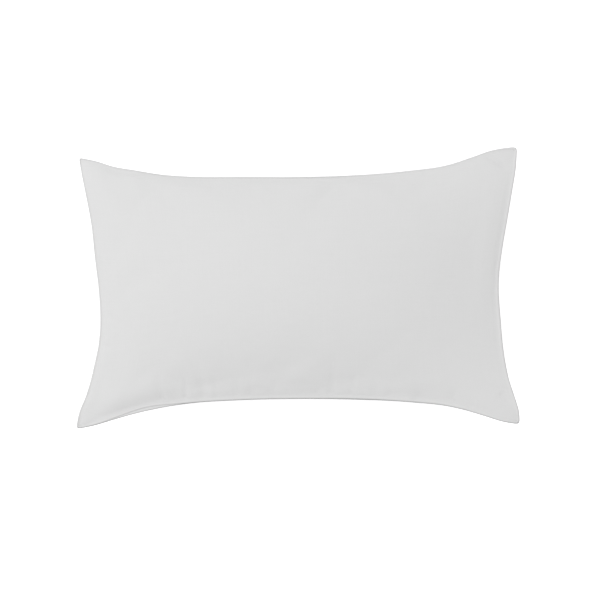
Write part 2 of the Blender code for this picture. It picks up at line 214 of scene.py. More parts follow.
TOOTH_PITCH = 1.2 * MM
TOOTH_WIRE = 0.27 * MM
TOOTH_REACH = 0.8 * MM
TACK_PITCH = 0.3 * MM
TACK_THREAD = 0.15 * MM
WIRE_STEPS = 10
WIRE_SIDES = 4
SLIDER_BEVEL = 0.25 * MM
TAB_BEVEL = 0.20 * MM
WELD_REACH = 0.01 * MM

# Tints of the sewn edge: where the cloth lies double it looks paler, and along the very fold it is
# darkened by painted shade, which stands for the shadow in the gap between the two lips. The
# painted shade's share is given for each loop of the lip and hem, from the stitch line out and
# back in.
DOUBLED_TINT = 0.022
PAINTED_SHADE_TINT = -0.40
FOLD_SHADE_SHARES = (0, 0, 0, 0.5, 1, 1, 1, 0.5, 0, 0, 0)
# The painted shade is whole along the back panel's zip side, this share of it along the right
# side, and this share again on the front panel.
RIGHT_SHADE_SHARE = 0.5
FRONT_SHADE_SHARE = 0.3

FLOOR_SIZE = 12.0
FLOOR_GLOW = 0.42
BOUNCE_SHADE = 0.85
SKY_STRENGTH = 1.0
LIGHTS = (("key", (-2.3, 1.3, 2.2), 2.0, 19.0),)

CAMERA_LENS = 85.0
CAMERA_SENSOR = 36.0
VIEW_WIDTH = 1.049
CAMERA_AIM = (0.0035, -0.0212)


# The outline ------------------------------------------------------------------------------


def curve_through(stations, t):
    """A smooth curve through (fraction, value) stations, read at each t."""
    x = np.array([s[0] for s in stations], float)
    y = np.array([s[1] for s in stations], float)
    slopes = np.gradient(y, x)
    k = np.clip(np.searchsorted(x, t, side="right") - 1, 0, len(x) - 2)
    width = x[k + 1] - x[k]
    f = (t - x[k]) / width
    rise = y[k + 1] - y[k]
    bend = (1 - f) * (slopes[k] * width - rise) - f * (slopes[k + 1] * width - rise)
    return y[k] + rise * f + f * (1 - f) * bend


def smooth_step(value):
    value = np.clip(value, 0, 1)
    return value * value * (3 - 2 * value)


def ramp(value, band):
    """0 below a band of values and 1 above it, with a smooth rise between."""
    low, high = band
    return smooth_step((value - low) / (high - low))


def zip_mouth(x):
    """1 along the zip, falling to 0 past its ends."""
    return smooth_step((MOUTH_HALF + MOUTH_FADE - np.abs(x)) / MOUTH_FADE)


def corner(name, inset):
    x, y = CORNERS_MM[name]
    return np.array([x * MM - math.copysign(1, x) * inset, y * MM - math.copysign(1, y) * inset])


def side_point(side, inset, t):
    """Points at fractions t along one side of the outline, moved in by inset."""
    ends = {
        "zip": ("zip_left", "zip_right", ZIP_PULL, (0, 1)),
        "head": ("head_left", "head_right", HEAD_PULL, (0, -1)),
        "left": ("zip_left", "head_left", LEFT_PULL, (1, 0)),
        "right": ("zip_right", "head_right", RIGHT_PULL, (-1, 0)),
    }
    first, last, pulls, inward = ends[side]
    t = np.asarray(t, float)
    start, end = corner(first, inset), corner(last, inset)
    straight = start + (end - start) * t[..., None]
    return straight + np.array(inward) * (curve_through(pulls, t) * MM)[..., None]


def between(first, last, share):
    """From one point to the other, by a share for each place on the grid."""
    return first * (1 - share)[..., None] + last * share[..., None]


def plan_point(inset, a, b):
    """Where (a, b), each from -1 to 1, lies inside the outline: a Coons patch of its sides."""
    s, t = (a + 1) / 2, (b + 1) / 2
    across = between(side_point("zip", inset, s), side_point("head", inset, s), t)
    along = between(side_point("left", inset, t), side_point("right", inset, t), s)
    lower = between(corner("zip_left", inset), corner("zip_right", inset), s)
    upper = between(corner("head_left", inset), corner("head_right", inset), s)
    return across + along - lower * (1 - t)[..., None] - upper * t[..., None]


def seam_height(a, b):
    return SEAM_HEIGHT - EAR_DROOP * (a * b) ** EAR_POWER


# Cloth simulation ---------------------------------------------------------------------------


def grid_sizes():
    return round(FLAT_LENGTH / SIM_CELL), round(FLAT_WIDTH / SIM_CELL)


def coarse_grid():
    nx, ny = grid_sizes()
    return np.meshgrid(np.linspace(-1, 1, nx + 1), np.linspace(-1, 1, ny + 1), indexing="ij")


def drawn_in(u, v):
    """Each grid point laid out inside the finished outline."""
    return plan_point(STITCH_INSET, u, v)


def dome(u, v):
    return np.sqrt(np.clip((1 - u * u) * (1 - v * v), 0, 1))


def sewn_pillow(plan, swell):
    """Two sheets sewn together at their rim, and the vertex number of each grid point."""
    nx, ny = grid_sizes()
    u, v = coarse_grid()
    rim = (np.abs(u) > 1 - 1e-9) | (np.abs(v) > 1 - 1e-9)
    front = np.arange(rim.size).reshape(rim.shape)
    back = front.copy()
    back[~rim] = rim.size + np.arange((~rim).sum())
    top = np.concatenate([plan, swell[..., None]], -1)
    under = np.concatenate([plan, -swell[..., None]], -1)
    points = np.concatenate([top.reshape(-1, 3), under[~rim]])
    faces = []
    for number, flip in ((front, False), (back, True)):
        quads = np.stack([number[:-1, :-1], number[1:, :-1], number[1:, 1:], number[:-1, 1:]], -1)
        quads = quads.reshape(-1, 4)
        faces += (quads[:, ::-1] if flip else quads).tolist()
    mesh = bpy.data.meshes.new("sewn_pillow")
    mesh.from_pydata(points.tolist(), [], faces)
    made = bpy.data.objects.new("sewn_pillow", mesh)
    bpy.context.scene.collection.objects.link(made)
    seam = made.vertex_groups.new(name="seam")
    seam.add([int(k) for k in front[rim]], 1.0, "REPLACE")
    return made, front, back


def inflate(plan, swell, frames, draw_frames=0):
    """The sewn sheets blown up, the seam held: front and back grids of points.

    With draw_frames the seam first moves from the flat cloth's rim to the outline.
    """
    pillow, front, back = sewn_pillow(plan, swell)
    if draw_frames:
        u, v = coarse_grid()
        target = drawn_in(u, v)
        pillow.shape_key_add(name="flat")
        drawn = pillow.shape_key_add(name="drawn")
        for numbers in (front, back):
            for k, place in zip(numbers.ravel(), target.reshape(-1, 2)):
                drawn.data[int(k)].co[:2] = place
        drawn.value = 0.0
        drawn.keyframe_insert("value", frame=1)
        drawn.value = 1.0
        drawn.keyframe_insert("value", frame=draw_frames)
    cloth = pillow.modifiers.new("inflate", "CLOTH")
    settings = cloth.settings
    settings.quality = 8
    settings.mass = 0.15
    settings.air_damping = 3
    settings.tension_stiffness = 40
    settings.compression_stiffness = 40
    settings.shear_stiffness = 12
    settings.tension_damping = 5
    settings.compression_damping = 5
    settings.shear_damping = 5
    settings.bending_model = "ANGULAR"
    settings.bending_stiffness = 0.1
    settings.bending_damping = 0.5
    settings.use_pressure = True
    settings.uniform_pressure_force = PRESSURE
    settings.effector_weights.gravity = 0
    settings.vertex_group_mass = "seam"
    cloth.collision_settings.use_collision = False
    cloth.point_cache.frame_start = 1
    cloth.point_cache.frame_end = frames
    scene = bpy.context.scene
    for frame_number in range(1, frames + 1):
        scene.frame_set(frame_number)
    evaluated = pillow.evaluated_get(bpy.context.evaluated_depsgraph_get())
    points = np.array([vertex.co for vertex in evaluated.data.vertices])
    bpy.data.objects.remove(pillow)
    scene.frame_set(1)
    return points[front], points[back]


def smooth_pillow():
    """The pillow's full, even shape: a dome inside the outline, blown up a little more."""
    u, v = coarse_grid()
    swell = START_DOME * dome(u, v)
    return inflate(drawn_in(u, v), swell, SMOOTH_FRAMES)


def wrinkled_pillow():
    """The same cover from flat cloth, so that the spare cloth gathers along the seams."""
    u, v = coarse_grid()
    flat = np.stack([u * FLAT_LENGTH / 2, v * FLAT_WIDTH / 2], -1)
    return inflate(flat, START_GAP * dome(u, v), WRINKLE_FRAMES, DRAW_FRAMES)


# Fields on the grid ---------------------------------------------------------------------------


def blurred(field, cells, axes=(0, 1)):
    """A field smoothed over this many cells, mirrored at its edges."""
    reach = int(3 * cells) + 1
    kernel = np.exp(-0.5 * (np.arange(-reach, reach + 1) / cells) ** 2)
    kernel /= kernel.sum()
    for axis in axes:
        pad = [(reach, reach) if k == axis else (0, 0) for k in range(field.ndim)]
        wide = np.pad(field, pad, mode="reflect")
        field = np.apply_along_axis(lambda line: np.convolve(line, kernel, "valid"), axis, wide)
    return field


def refined(field, factor):
    """The field on a grid this many times finer, through a smooth curve in both directions."""
    for axis in (0, 1):
        field = np.moveaxis(field, axis, 0)
        count = len(field) - 1
        t = np.linspace(0, count, count * factor + 1)
        k = np.minimum(t.astype(int), count - 1)
        f = (t - k).reshape(-1, *([1] * (field.ndim - 1)))
        before = np.concatenate([2 * field[:1] - field[1:2], field])
        after = np.concatenate([field, 2 * field[-1:] - field[-2:-1]])
        a, b = field[k], field[k + 1]
        slope_a = (b - before[k]) / 2
        slope_b = (after[k + 2] - a) / 2
        bend = (1 - f) * (slope_a - (b - a)) - f * (slope_b - (b - a))
        field = np.moveaxis(a + (b - a) * f + f * (1 - f) * bend, 0, axis)
    return field


def normals(points):
    """Unit normals of a grid of points, on the upper side."""
    normal = np.cross(np.gradient(points, axis=0), np.gradient(points, axis=1))
    return normal / np.maximum(np.linalg.norm(normal, axis=-1), 1e-12)[..., None]


class Sheet:
    """One face of the pillow as fields on a fine grid: where each point of the cloth lies."""

    def __init__(self, points, wrinkled):
        nx, ny = points.shape[0] - 1, points.shape[1] - 1
        self.u, self.v = np.meshgrid(
            np.linspace(-1, 1, nx * FINE + 1), np.linspace(-1, 1, ny * FINE + 1), indexing="ij"
        )
        x, y = points[..., 0], points[..., 1]
        # How far across and along the pillow each point lies, from -1 to 1.
        a = 2 * (x - x[:1]) / (x[-1:] - x[:1]) - 1
        b = 2 * (y - y[:, :1]) / (y[:, -1:] - y[:, :1]) - 1
        self.a, self.b = refined(a, FINE), refined(b, FINE)
        height = np.abs(points[..., 2])
        even = np.maximum(refined(height / height.max(), FINE), 0)
        self.height = DOME_SHARE * dome(self.a, self.b) + (1 - DOME_SHARE) * even
        # How far the wrinkled cloth stands out from the smooth, without its broad swell.
        sign = 1 if points[..., 2].sum() > 0 else -1
        proud = sign * ((wrinkled - points) * normals(points)).sum(-1)
        for axis in (0, 1):
            proud -= blurred(proud, WIDEST_CELLS, (axis,))
        self.wrinkles = refined(blurred(proud, SMOOTHED_CELLS), FINE)


# The sewn surfaces ------------------------------------------------------------------------


def plan_and_inward(a, b):
    """Plan position on the outline's patch, and how it moves for each metre of inset."""
    outer = plan_point(0.0, a, b)
    return outer, (plan_point(MM, a, b) - outer) / MM


def bump(distance, width):
    return np.exp(-((distance / width) ** 2))


def seam_puckers(x, reach):
    """Small gathers running up from the zip seam. reach is the distance in from the seam."""
    rng = np.random.default_rng(PUCKER_SEED)
    total = np.zeros_like(x)
    for place, depth, length in PUCKERS:
        lean = rng.uniform(-PUCKER_LEAN, PUCKER_LEAN)
        width = rng.uniform(*PUCKER_WIDTHS)
        line = x - place * MM - lean * reach
        rise = smooth_step(reach / PUCKER_START) * bump(reach, length * MM)
        total -= depth * MM * rise * bump(line, width)
        ridge = bump(line - RIDGE_PLACE * width, width * RIDGE_WIDTH)
        total += RIDGE_SHARE * depth * MM * rise * ridge
    return total


def fold(x, y, start, end, width, height):
    """A soft ridge along the line from start to end, in metres, fading out at both ends."""
    start, end = np.array(start), np.array(end)
    along = end - start
    length = np.linalg.norm(along)
    along /= length
    s = (x - start[0]) * along[0] + (y - start[1]) * along[1]
    d = (y - start[1]) * along[0] - (x - start[0]) * along[1]
    end_part = FOLD_FADE * length
    fade = smooth_step(s / end_part) * smooth_step((length - s) / end_part)
    return height * fade * bump(d, width)


def rounded_corners(loop, turns):
    """A closed loop with its four corners eased, by this many passes at each."""
    count = len(loop)
    sharp = loop.copy()
    for place, passes in turns:
        near = np.arange(place - CORNER_WINDOW, place + CORNER_WINDOW + 1) % count
        for _ in range(passes):
            before, after = loop[(near - 1) % count], loop[(near + 1) % count]
            loop[near] = 0.5 * loop[near] + 0.25 * (before + after)
    weight = np.zeros(count)
    for place, passes in turns:
        offset = (np.arange(count) - place + count // 2) % count - count // 2
        weight = np.maximum(weight, np.exp(-((offset / CORNER_REACH) ** 4)))
    return sharp + (loop - sharp) * weight[:, None]


def rim_walk(nx, ny):
    """Grid positions once round the rim, starting at the zip-left corner, and the corners."""
    walk = [(i, 0) for i in range(nx)]
    walk += [(nx, j) for j in range(ny)]
    walk += [(nx - i, ny) for i in range(nx)]
    walk += [(0, ny - j) for j in range(ny)]
    return np.array(walk), (0, nx, nx + ny, 2 * nx + ny)


def mesh_piece(name, points, faces, material, uv=None, smooth=True):
    mesh = bpy.data.meshes.new(name)
    mesh.from_pydata([tuple(p) for p in points], [], faces)
    mesh.validate()
    if uv is not None:
        layer = mesh.uv_layers.new(name="cloth")
        corners = np.zeros(len(mesh.loops), int)
        mesh.loops.foreach_get("vertex_index", corners)
        layer.data.foreach_set("uv", np.asarray(uv)[corners].astype(np.float32).ravel())
    if smooth:
        mesh.polygons.foreach_set("use_smooth", [True] * len(mesh.polygons))
    mesh.materials.append(material)
    made = bpy.data.objects.new(name, mesh)
    bpy.context.scene.collection.objects.link(made)
    return made


def grid_faces(nx, ny, flip):
    i, j = np.meshgrid(np.arange(nx), np.arange(ny), indexing="ij")
    base = (i * (ny + 1) + j).ravel()
    quads = np.stack([base, base + ny + 1, base + ny + 2, base + 1], -1)
    return (quads[:, ::-1] if flip else quads).tolist()


def ring_faces(inner, outer, flip):
    """Quads between two closed loops of vertex numbers. The outer loop lies outside."""
    quads = np.stack([inner, outer, np.roll(outer, -1), np.roll(inner, -1)], -1)
    return (quads[:, ::-1] if flip else quads).tolist()


def stitch_opening(x, a, b):
    """How far a panel stands off the middle at its stitch line."""
    closed = CLOSED_OPENING * lip_width(a, b) / STITCH_INSET
    stand = closed + (STITCH_OPENING - closed) * zip_mouth(x) * smooth_step(-b)
    return stand * smooth_step((1 - np.abs(a * b)) / TIP_PART)


def lip_width(a, b):
    """How far the stitch line lies inside the outline: wide on the zip and right sides."""
    zip_side = ramp(-b, SIDE_BAND) * smooth_step((1 - np.abs(a)) / ZIP_LIP_END)
    right_side = ramp(a, SIDE_BAND) * smooth_step((1 - np.abs(b)) / RIGHT_LIP_END)
    return NARROW_LIP + (STITCH_INSET - NARROW_LIP) * (1 - (1 - zip_side) * (1 - right_side))


def panel(name, sheet, sign, face, material):
    """One cover panel: its domed face, and the lip and turned-in hem round its edge."""
    nx, ny = sheet.u.shape[0] - 1, sheet.u.shape[1] - 1
    outer, inward = plan_and_inward(sheet.a, sheet.b)
    lip = lip_width(sheet.a, sheet.b)
    walk, corners = rim_walk(nx, ny)
    wi, wj = walk[:, 0], walk[:, 1]
    turns = list(zip(corners, CORNER_PASSES))
    grid = face.copy()
    seam = seam_height(sheet.a, sheet.b)[wi, wj]
    edge, normal, width = outer[wi, wj], inward[wi, wj], lip[wi, wj]
    rolled = rolled_back(sheet.a, sheet.b, sign)[wi, wj]
    mouth = np.where(wj == 0, zip_mouth(edge[:, 0]), 0.0)
    stitch = stitch_opening(edge[:, 0], sheet.a[wi, wj], sheet.b[wi, wj])

    def loop(share, lift, depth=0.0):
        """A loop at this share of the lip's width (0 the stitch line, 1 the edge)."""
        inset = width * (1 - share) + depth + rolled
        flat = edge + normal * inset[:, None]
        flat = rounded_corners(flat, turns)
        z = seam + sign * (lift * MM + stitch * (1 - share) + LIP_OPENING * mouth * share)
        return np.column_stack([flat, z])

    loops = [loop(*lip_loop) for lip_loop in LIP_LOOPS]
    # The hem: turned in flat along the closed seam, and back to the zip tape in its mouth. Past
    # the zip's ends it spreads before it draws back, which leaves room for the pull tab.
    back, spread = mouth ** 2, 1 - (1 - mouth) ** 2
    share = np.column_stack([back, back, spread])
    for depth, wall_y, wall_z in HEM_LOOPS:
        closed = loop(1.0, HEM_LIFT, depth * MM)
        closed[:, 2] = seam + sign * HEM_LIFT * MM
        open_hem = closed.copy()
        open_hem[:, 1] = np.maximum(wall_y * MM, closed[:, 1])
        open_hem[:, 2] = seam + sign * wall_z * MM
        loops.append(closed * (1 - share) + open_hem * share)
    rim = loops[0]
    grid[wi, wj] = rim
    points = [grid.reshape(-1, 3)]
    flat_uv = np.stack([sheet.u * FLAT_LENGTH / 2, sheet.v * FLAT_WIDTH / 2], -1)
    uvs = [flat_uv.reshape(-1, 2)]
    faces = grid_faces(nx, ny, sign < 0)
    previous = wi * (ny + 1) + wj
    count = (nx + 1) * (ny + 1)
    doubled, painted_edge_shade = [np.zeros(count)], [np.zeros(count)]
    doubled[0][previous] = 0.5
    # Painted shade along the fold of the edge: whole along the back panel's zip side, part of it
    # on the right side and on the front panel.
    painted_shade_side = np.where(wj == 0, 1.0, np.where(wi == nx, RIGHT_SHADE_SHARE, 0.0))
    painted_shade_side *= FRONT_SHADE_SHARE if sign > 0 else 1
    outward = -normal / np.linalg.norm(normal, axis=1)[:, None]
    run = np.zeros(len(walk))
    for k in range(1, len(loops)):
        points.append(loops[k])
        run += np.linalg.norm(loops[k] - loops[k - 1], axis=1)
        uvs.append(flat_uv[wi, wj] + outward * run[:, None])
        doubled.append(np.ones(len(walk)))
        painted_edge_shade.append(painted_shade_side * FOLD_SHADE_SHARES[k])
        ring = count + np.arange(len(walk))
        faces += ring_faces(previous, ring, sign < 0)
        previous = ring
        count += len(walk)
    piece = mesh_piece(name, np.concatenate(points), faces, material, np.concatenate(uvs))
    for layer_name, values in (("doubled", doubled), ("painted_edge_shade", painted_edge_shade)):
        layer = piece.data.attributes.new(layer_name, "FLOAT", "POINT")
        layer.data.foreach_set("value", np.concatenate(values).astype(np.float32))
    return piece


def rolled_back(a, b, sign):
    """How far the front panel's edge has rolled in from the outline."""
    if sign < 0:
        return np.zeros_like(a)
    x = a * CORNERS_MM["zip_right"][0] * MM
    zip_side, right_side = 1 - ramp(b, ZIP_ROLL_BAND), ramp(a, RIGHT_ROLL_BAND)
    amount = ROLLED_IN * (1 - (1 - zip_side) * (1 - RIGHT_ROLL_SHARE * right_side))
    more = sum(inset * bump(x - place, reach) for place, reach, inset in ROLLS)
    return amount + zip_side * more


def surface(sheet, crown):
    """The face of a panel inside its stitch line, as points, flaring out into the sewn edge."""
    outer, inward = plan_and_inward(sheet.a, sheet.b)
    inset = lip_width(sheet.a, sheet.b) + rolled_back(sheet.a, sheet.b, np.sign(crown))
    plan = outer + inward * inset[..., None]
    share = LENS_SHARE
    if crown > 0:
        zip_half, right_half = smooth_step(-sheet.b), smooth_step(sheet.a)
        slack = 1 - (1 - zip_half) * (1 - right_half)
        share = LENS_SHARE + (SLACK_LENS_SHARE - LENS_SHARE) * slack
    lens = sheet.height * (1 - share + share * sheet.height)
    from_seam = np.minimum((1 - np.abs(sheet.a)) * HALF_LENGTH, (1 - np.abs(sheet.b)) * HALF_WIDTH)
    flare = 1 - FLARE * np.exp(-from_seam / FLARE_REACH)
    swell = np.abs(crown) * lens * flare
    swell += stitch_opening(plan[..., 0], sheet.a, sheet.b) * np.exp(-swell / OPENING_FADE)
    z = seam_height(sheet.a, sheet.b) + np.sign(crown) * swell
    return np.concatenate([plan, z[..., None]], -1)


def pushed_out(points, amount, sign):
    """Points moved out along the surface's normal."""
    return points + sign * normals(points) * amount[..., None]


def seam_distance(sheet):
    """0 at the seam and 1 in the middle, in the flat cloth."""
    return np.minimum(1 - np.abs(sheet.u), 1 - np.abs(sheet.v))


def front_face(sheet):
    """The upper face: its crown, some of the simulated wrinkles, then gathers and folds."""
    points = surface(sheet, FRONT_CROWN)
    x, y = points[..., 0], points[..., 1]
    reach = y - side_point("zip", 0.0, (sheet.a + 1) / 2)[..., 1]
    rim = seam_distance(sheet)
    short_side = SHORT_SIDE_LOSS * ramp(np.abs(sheet.u), SHORT_SIDE_BAND)
    near = (1 - ramp(rim, WRINKLED_BAND)) * (1 - short_side)
    slack = FACE_WRINKLES + (SEAM_WRINKLES - FACE_WRINKLES) * near
    slack *= 1 - ramp(sheet.u, SMOOTH_END_BAND)
    amount = slack * sheet.wrinkles + seam_puckers(x, reach)
    for start, end, width, height in FRONT_FOLDS:
        amount += fold(x, y, start, end, width, height)
    swell = points[..., 2] - seam_height(sheet.a, sheet.b)
    amount = np.maximum(amount, -DEEPEST_FOLD * swell)
    return pushed_out(points, amount * smooth_step(rim / RIM_BAND), 1)


def back_face(sheet):
    """The under face, flat where the pillow rests."""
    points = surface(sheet, -BACK_CROWN)
    amount = BACK_WRINKLES * sheet.wrinkles * smooth_step(seam_distance(sheet) / RIM_BAND)
    points = pushed_out(points, amount, -1)
    z = points[..., 2]
    lifted = 0.5 * (z + np.sqrt(z * z + TABLE_SOFTNESS**2))
    points[..., 2] = lifted - lifted.min()
    return points


def inner_panel(name, sheet, sign, face, inset, drop, material):
    """A face of the inner pillow, or of its filling: the cover's own shape, set inside it."""
    step = INNER_STEP
    a, b = sheet.a[::step, ::step], sheet.b[::step, ::step]
    plan = plan_point(inset, a, b)
    seam = seam_height(a, b)
    swell = np.maximum(sign * (face[::step, ::step, 2] - seam), 0)
    sunk = drop * smooth_step(swell / (DROP_REACH * drop))
    z = seam + sign * np.maximum(swell - sunk, 0)
    points = np.concatenate([plan, z[..., None]], -1)
    uv = np.stack([sheet.u * FLAT_LENGTH / 2, sheet.v * FLAT_WIDTH / 2], -1)[::step, ::step]
    nx, ny = points.shape[0] - 1, points.shape[1] - 1
    faces = grid_faces(nx, ny, sign < 0)
    return mesh_piece(name, points.reshape(-1, 3), faces, material, uv.reshape(-1, 2))


# Zip ----------------------------------------------------------------------------------------


def wound(name, start, end, pitch, centre, half, wire, phase, material):
    """A wire wound round a line along X. centre and half are (y, z) of the winding."""
    turns = round((end - start) / pitch)
    steps = turns * WIRE_STEPS
    t = np.arange(steps + 1) / WIRE_STEPS
    angle = 2 * math.pi * (t + phase)
    reach = np.array(half) - wire
    path = np.stack([start + wire + (end - start - 2 * wire) * t / turns,
                     centre[0] + reach[0] * np.cos(angle),
                     centre[1] + reach[1] * np.sin(angle)], -1)
    ahead = np.gradient(path, axis=0)
    ahead /= np.linalg.norm(ahead, axis=1)[:, None]
    out = np.stack([np.zeros_like(t), np.cos(angle), np.sin(angle)], -1)
    out -= ahead * (out * ahead).sum(1)[:, None]
    out /= np.linalg.norm(out, axis=1)[:, None]
    side = np.cross(ahead, out)
    around = 2 * math.pi * np.arange(WIRE_SIDES) / WIRE_SIDES
    rings = path[:, None] + wire * (out[:, None] * np.cos(around)[None, :, None]
                                    + side[:, None] * np.sin(around)[None, :, None])
    faces = []
    for k in range(steps):
        for s in range(WIRE_SIDES):
            n = (s + 1) % WIRE_SIDES
            faces.append([k * WIRE_SIDES + s, k * WIRE_SIDES + n,
                          (k + 1) * WIRE_SIDES + n, (k + 1) * WIRE_SIDES + s])
    faces.append(list(range(WIRE_SIDES))[::-1])
    faces.append([steps * WIRE_SIDES + s for s in range(WIRE_SIDES)])
    return mesh_piece(name, rings.reshape(-1, 3), faces, material)


def stand_in(piece, body, slot, *nodes):
    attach(piece, body)
    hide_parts(*nodes)
    return piece


def zip_teeth(material):
    for side, sign, phase in (("front", 1, 0.0), ("back", -1, 0.5)):
        lo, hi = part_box(f"zip_coil_{side}")
        middle = (lo + hi) / 2
        half = ((hi.y - lo.y) / 2, (hi.z - lo.z) / 2 + TOOTH_REACH / 2)
        centre = (middle.y, middle.z - sign * TOOTH_REACH / 2)
        coil = wound(f"zip_teeth_{side}", lo.x, hi.x, TOOTH_PITCH, centre, half, TOOTH_WIRE,
                     phase, material)
        stand_in(coil, "pillow", "zip_coil_nylon", f"zip_coil_{side}")


def bar_tacks(material):
    for end in ("closed_end", "open_end"):
        node = f"bar_tack_{end}"
        lo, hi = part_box(node)
        middle, half = (lo + hi) / 2, (hi - lo) / 2
        tack = wound(f"{node}_stitches", lo.x, hi.x, TACK_PITCH, (middle.y, middle.z),
                     (half.y, half.z), TACK_THREAD, 0.0, material)
        stand_in(tack, "pillow", "sewing_thread", node)


def soften_edges(node, width):
    """Eased edges on a metal CAD part, as a modifier, so that its own mesh stays as it is."""
    weld = node.modifiers.new("weld", "WELD")
    weld.merge_threshold = WELD_REACH
    bevel = node.modifiers.new("edges", "BEVEL")
    bevel.width = width
    bevel.segments = 3
    bevel.limit_method = "ANGLE"
    bevel.harden_normals = True


# Materials ----------------------------------------------------------------------------------


class Nodes:
    """A node material being built: short ways to add and link nodes."""

    def __init__(self, name, colour, roughness, **sockets):
        self.material = bpy.data.materials.new(name)
        self.material.use_nodes = True
        self.tree = self.material.node_tree
        self.shader = self.tree.nodes["Principled BSDF"]
        self.colour = (*colour, 1)
        self.shader.inputs["Base Color"].default_value = self.colour
        self.shader.inputs["Roughness"].default_value = roughness
        for key, value in sockets.items():
            self.shader.inputs[key.replace("_", " ")].default_value = value

    def add(self, kind, **settings):
        node = self.tree.nodes.new(kind)
        for key, value in settings.items():
            setattr(node, key, value)
        return node

    def link(self, output, socket):
        self.tree.links.new(output, socket)

    def math(self, operation, a, b=None):
        node = self.add("ShaderNodeMath", operation=operation)
        for socket, value in zip(node.inputs, (a, b)):
            if isinstance(value, (int, float)):
                socket.default_value = value
            elif value is not None:
                self.link(value, socket)
        return node.outputs[0]

    def place(self, scale, uv=True):
        """Cloth coordinates in metres, or the object's own, times a scale for each axis."""
        if uv:
            source = self.add("ShaderNodeUVMap", uv_map="cloth").outputs[0]
        else:
            source = self.add("ShaderNodeTexCoord").outputs["Object"]
        mapping = self.add("ShaderNodeMapping")
        mapping.inputs["Scale"].default_value = scale
        self.link(source, mapping.inputs["Vector"])
        return mapping.outputs[0]

    def noise(self, where, detail=2.0, roughness=0.5, distortion=0.0):
        node = self.add("ShaderNodeTexNoise")
        node.inputs["Scale"].default_value = 1.0
        node.inputs["Detail"].default_value = detail
        node.inputs["Roughness"].default_value = roughness
        node.inputs["Distortion"].default_value = distortion
        self.link(where, node.inputs["Vector"])
        return node.outputs[0]

    def attribute(self, name):
        return self.add("ShaderNodeAttribute", attribute_name=name).outputs["Fac"]

    def split(self, where):
        node = self.add("ShaderNodeSeparateXYZ")
        self.link(where, node.inputs[0])
        return node.outputs

    def centred(self, value, amount):
        """A 0 to 1 value turned into one that swings this far either side of 0."""
        return self.math("MULTIPLY", self.math("SUBTRACT", value, 0.5), 2 * amount)

    def total(self, *values):
        result = values[0]
        for value in values[1:]:
            result = self.math("ADD", result, value)
        return result

    def tint(self, change):
        """Base colour times 1 + change."""
        gain = self.math("ADD", change, 1.0)
        mix = self.add("ShaderNodeVectorMath", operation="SCALE")
        mix.inputs[0].default_value = self.colour[:3]
        self.link(gain, mix.inputs["Scale"])
        self.link(mix.outputs[0], self.shader.inputs["Base Color"])

    def relief(self, height):
        """Bump from a height in metres."""
        node = self.add("ShaderNodeBump")
        node.inputs["Strength"].default_value = 1.0
        node.inputs["Distance"].default_value = 1.0
        self.link(height, node.inputs["Height"])
        self.link(node.outputs[0], self.shader.inputs["Normal"])


def woven(name, colour, thread, uneven, sheen):
    """Plain-woven cotton: crossing threads, slubs along both, a soft mottle and a little fluff.

    Where the cloth lies double, at its sewn edge, it lets less light through and looks paler.
    Along the fold of the sewn edge and its hem, painted shade darkens it, standing for the shadow
    between the two lips.
    """
    n = Nodes(name, colour, 0.9, Sheen_Weight=sheen, Sheen_Roughness=0.45,
              Specular_IOR_Level=0.2)
    cloth = n.place((1, 1, 1))
    u, v, _ = n.split(cloth)
    wander = n.centred(n.noise(n.place((60, 60, 60))), 0.35)
    turns = math.pi / thread
    warp = n.math("SINE", n.math("ADD", n.math("MULTIPLY", u, turns), wander))
    weft = n.math("SINE", n.math("ADD", n.math("MULTIPLY", v, turns), wander))
    weave = n.math("MULTIPLY", warp, weft)
    slub_u = n.noise(n.place((9, 700, 1)), 1.0)
    slub_v = n.noise(n.place((700, 9, 1)), 1.0)
    mottle = n.noise(n.place((330, 330, 1)), 3.0, 0.6)
    cloud = n.noise(n.place((22, 22, 1)), 2.0)
    n.tint(n.total(n.centred(slub_u, 1.0 * uneven), n.centred(slub_v, 1.0 * uneven),
                   n.centred(mottle, 1.3 * uneven), n.centred(cloud, 0.5 * uneven),
                   n.math("MULTIPLY", weave, 0.015),
                   n.math("MULTIPLY", n.attribute("doubled"), DOUBLED_TINT),
                   # Painted shade along the sewn edge's fold and hem.
                   n.math("MULTIPLY", n.attribute("painted_edge_shade"), PAINTED_SHADE_TINT)))
    n.relief(n.total(n.math("MULTIPLY", weave, 0.03 * MM),
                     n.math("MULTIPLY", slub_u, 0.05 * MM),
                     n.math("MULTIPLY", slub_v, 0.05 * MM),
                     n.math("MULTIPLY", mottle, 0.10 * MM),
                     n.math("MULTIPLY", cloud, 1.2 * MM)))
    return n.material


def fibre_material():
    n = Nodes("polyester_fibre", (0.90, 0.90, 0.90), 0.95, Sheen_Weight=0.3)
    tangle = n.noise(n.place((160, 160, 160)), 6.0, 0.7, 1.5)
    tufts = n.noise(n.place((35, 35, 35)), 3.0, 0.6)
    n.tint(n.total(n.centred(tangle, 0.06), n.centred(tufts, 0.03)))
    n.relief(n.total(n.math("MULTIPLY", tangle, 1.5 * MM), n.math("MULTIPLY", tufts, 4 * MM)))
    return n.material


def thread_material():
    """Sewing thread: fine slanting plies along the seam."""
    n = Nodes("sewing_thread", (0.74, 0.74, 0.74), 0.6, Sheen_Weight=0.2)
    plies = n.place((3200, 3200, 2400), uv=False)
    x, y, z = n.split(plies)
    twist = n.math("SINE", n.total(x, y, z))
    shade = n.noise(n.place((300, 300, 300), uv=False), 2.0)
    n.tint(n.total(n.math("MULTIPLY", twist, 0.08), n.centred(shade, 0.06)))
    n.relief(n.math("MULTIPLY", twist, 0.05 * MM))
    return n.material


